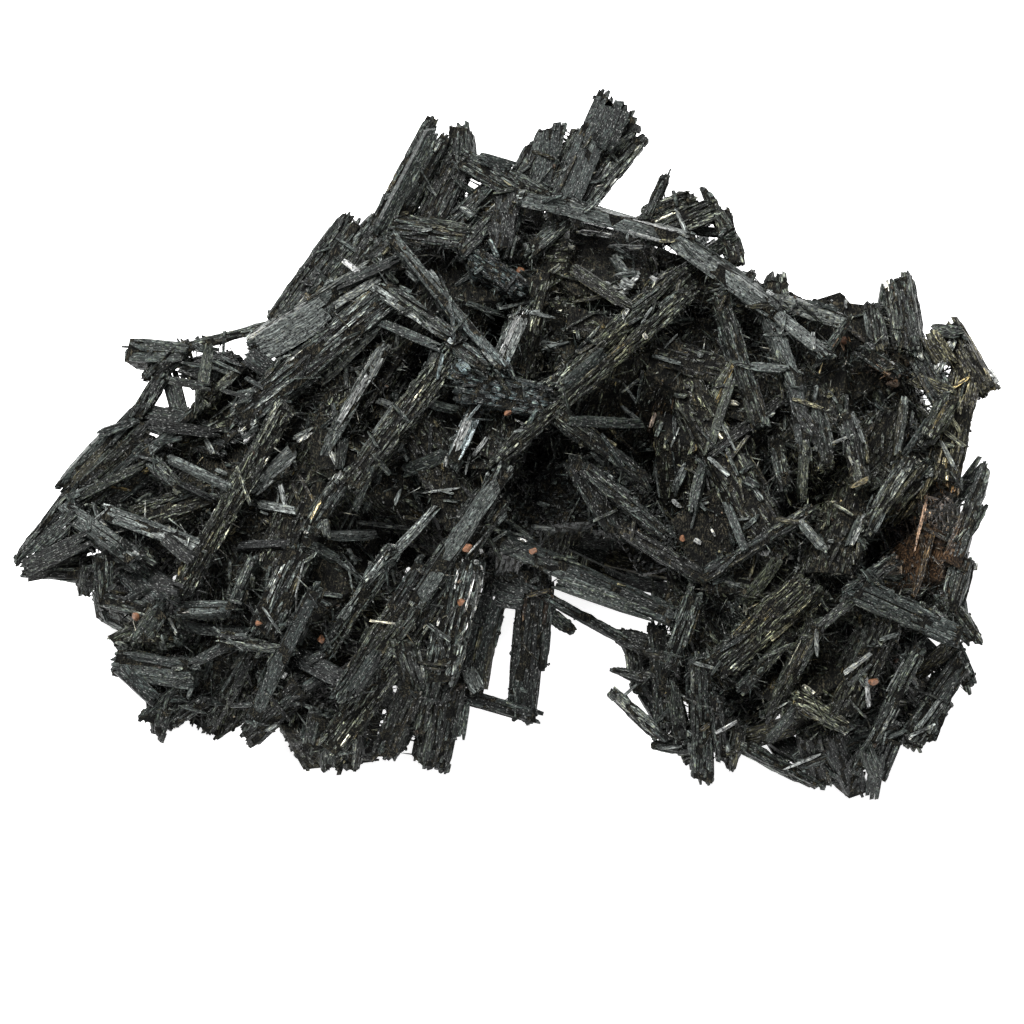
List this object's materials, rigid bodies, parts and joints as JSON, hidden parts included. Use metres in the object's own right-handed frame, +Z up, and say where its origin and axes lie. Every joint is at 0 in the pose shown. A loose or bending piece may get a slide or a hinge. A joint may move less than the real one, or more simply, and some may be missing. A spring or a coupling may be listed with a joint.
{
  "type": "aegirine cluster",
  "caption": "Jumbled openwork cluster of black splintery prismatic crystals grown together, with small feldspar grains, resting on its underside.",
  "frame": {"origin": "centre of the object's box in plan, on the plane that it rests on", "axes": "+X along its longest extent, to the right seen from the front; -Y to the front, where the notch opens; +Z up"},
  "size_m": [0.1234, 0.0796, 0.0445],
  "materials": {
    "aegirine": "dark splintery crystal faces, striated lengthwise",
    "feldspar": "matt grain"
  },
  "bodies": {
    "root": {"aegirine_crystals": "aegirine", "feldspar_grain_01": "feldspar", "feldspar_grain_02": "feldspar", "feldspar_grain_03": "feldspar", "feldspar_grain_04": "feldspar", "feldspar_grain_05": "feldspar", "feldspar_grain_06": "feldspar", "feldspar_grain_07": "feldspar", "feldspar_grain_08": "feldspar", "feldspar_grain_09": "feldspar", "feldspar_grain_10": "feldspar", "feldspar_grain_11": "feldspar", "feldspar_grain_12": "feldspar"}
  },
  "joints": []
}
